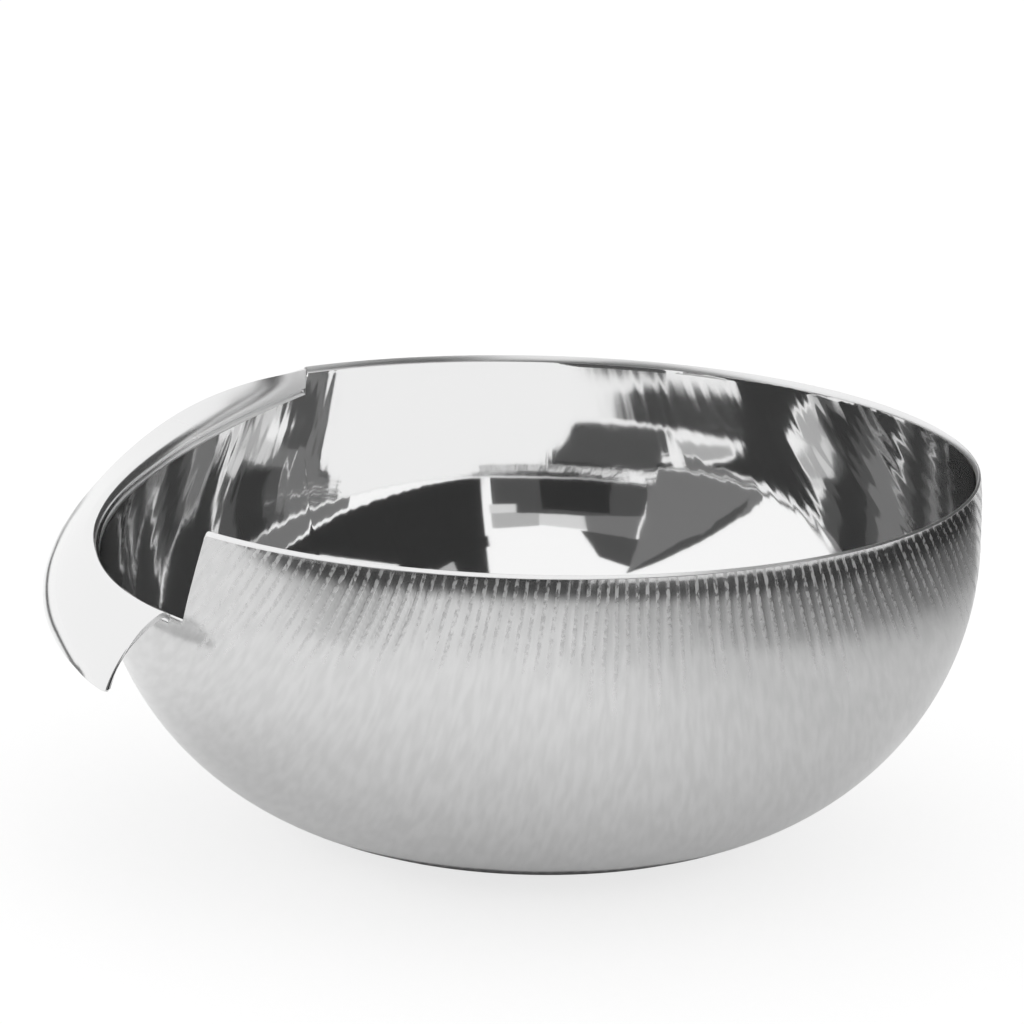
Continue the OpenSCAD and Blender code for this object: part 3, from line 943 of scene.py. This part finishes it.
# Cards that only the silver sees: name, tone, and the places of their lower and upper edges.
# On the floor a place is degrees round the bowl and reach, on the dome it is degrees and rise.
FLOOR_CARDS = [
    # Painted shade: a copy of the floor that glows less than the table and greys toward the right
    ("floor_round", "shade", [(turn, 0.02) for turn in range(-180, 181, 15)],
     [(turn, 0.7) for turn in range(-180, 181, 15)]),
    ("floor_front", "fade",
     [(-165, 0.7), (-150, 0.5), (-135, 0.32), (-124, 0.4), (-113, 0.58), (-99, 0.5), (-85, 0.5),
      (-70, 0.4), (-51, 0.31), (-36, 0.235), (-19, 0.18), (0, 0.15), (23, 0.12), (50, 0.13)],
     [(-165, 4), (-150, 4), (-135, 4), (-124, 4), (-113, 4), (-99, 4), (-85, 4),
      (-70, 4), (-51, 4), (-36, 4), (-19, 4), (0, 4), (23, 4), (50, 4)]),
    ("floor_behind", "dark", [(85, 0.55), (105, 0.55), (128, 0.58), (150, 0.62)],
     [(85, 0.72), (105, 0.72), (128, 0.76), (150, 0.82)]),
    # Painted shadow: a grey ring under the bowl's belly that darkens the lowest silver in its
    # reflection
    ("painted_floor_shadow", "grey", [(turn, 0.03) for turn in range(-220, 41, 20)],
     [(turn, 0.058) for turn in range(-220, 41, 20)]),
]
DOME_CARDS = [
    ("wall_back_right", "dim", [(27, 5), (47, 4.5), (66, 4.5), (86, 4.5)],
     [(5, 50), (25, 54.5), (45, 57), (64, 57.5)]),
    ("wall_back_deep", "dark", [(33, 12), (41, 10)], [(12, 46), (26, 52)]),
    ("wall_back_foot", "dark", [(48, 5), (66, 5), (85, 5)], [(50, 17), (66, 21), (82, 24)]),
    ("wall_back_streak", "grey", [(42, 30), (47, 30)], [(37, 54), (43, 56)]),
    ("wall_back_edge", "dark", [(70, 38), (74, 36)], [(60, 56), (64, 57)]),
    ("wall_right", "dark", [(-74, 8), (-60, 10), (-45, 13), (-30, 16), (-15, 20), (-4, 22)],
     [(-72, 50), (-60, 48), (-45, 42), (-30, 35), (-18, 28), (-6, 22)]),
    ("wall_far_right", "grey", [(-35, 10), (-20, 12), (-5, 14), (12, 12)],
     [(-33, 14), (-18, 18), (-5, 22), (8, 33)]),
    ("wall_right_haze", "pale", [(-28, 36), (-15, 30), (-5, 26), (8, 34)],
     [(-28, 40), (-15, 41), (-5, 42), (4, 45)]),
    ("wall_right_post", "dark", [(19, 10), (27, 8)], [(17, 19), (25, 17)]),
    ("wall_front_low", "dim", [(-123, -1), (-105, -1), (-90, -1), (-76, -1)],
     [(-122, 21), (-105, 24), (-90, 24), (-77, 24)]),
    ("wall_front_dark", "dark", [(-112, 1), (-90, 1)], [(-112, 22), (-92, 22)]),
    ("wall_front_haze", "light", [(-106, 24), (-90, 24)], [(-106, 30), (-90, 29)]),
    ("wall_front_mist", "pale", [(-91, 24), (-76, 24)], [(-91, 29.5), (-76, 31)]),
    ("wall_front_glint", "light", [(-84, 20), (-75.5, 20)], [(-84, 24), (-75.5, 24)]),
    ("wall_front_left", "grey", [(-122, 21), (-104, 24)], [(-122, 31), (-106, 31)]),
    ("wall_front_high", "dim", [(-124, 31), (-104, 30.5)], [(-124, 43), (-112, 41)]),
    ("wall_left_front", "grey", [(-158, 1), (-146, 0), (-138, -1), (-122, -1)],
     [(-154, 10), (-146, 20), (-136, 35), (-124, 46)]),
    ("wall_left_edge", "dim", [(-153, 5), (-144, 18), (-133, 30)],
     [(-150, 15), (-140, 30), (-124, 46)]),
    ("ceiling_right", "dark",
     [(-74, 34), (-60, 35), (-45, 39), (-30, 43.5), (-15, 48.5),
      (0, 52), (12, 56), (25, 61.5), (35, 65)],
     [(-74, 38.5), (-60, 41), (-45, 46), (-30, 51.5), (-15, 58.5),
      (0, 66), (12, 69), (25, 71.5), (40, 74)]),
    ("ceiling_haze", "pale", [(-60, 43), (-45, 48), (-30, 53), (-20, 57.5)],
     [(-60, 48), (-45, 53), (-30, 58), (-22, 61)]),
]

# Soft lights: name, place, aim, size and power
LAMPS = [
    ("overhead_softbox", (0.1, 0.1, 1.5), (0, 0, 0), (1.8, 1.4), 3),
]


class BOWL_PT_panel(bpy.types.Panel):
    """Steps and sizes of the offering bowl"""
    bl_idname = "BOWL_PT_panel"
    bl_label = "Offering bowl"
    bl_space_type = "VIEW_3D"
    bl_region_type = "UI"
    bl_category = "Offering bowl"

    def draw(self, context):
        for step in STEPS:
            self.layout.operator(step.bl_idname)
        for name, group in GROUPS.items():
            box = self.layout.box()
            box.label(text=group.__doc__)
            for key in group.__annotations__:
                box.prop(getattr(context.scene, name), key)


STEPS = (BOWL_OT_shell, BOWL_OT_lip, BOWL_OT_foot, BOWL_OT_stage)
CLASSES = (*GROUPS.values(), *STEPS, BOWL_PT_panel)


def register():
    for item in CLASSES:
        bpy.utils.register_class(item)
    for name, group in GROUPS.items():
        setattr(bpy.types.Scene, name, bpy.props.PointerProperty(type=group))


def unregister():
    for name in GROUPS:
        delattr(bpy.types.Scene, name)
    for item in reversed(CLASSES):
        bpy.utils.unregister_class(item)


def main():
    register()
    bpy.ops.offering_bowl.shell()
    bpy.ops.offering_bowl.lip()
    bpy.ops.offering_bowl.foot()
    bpy.ops.offering_bowl.stage()


if __name__ == "__main__":
    main()
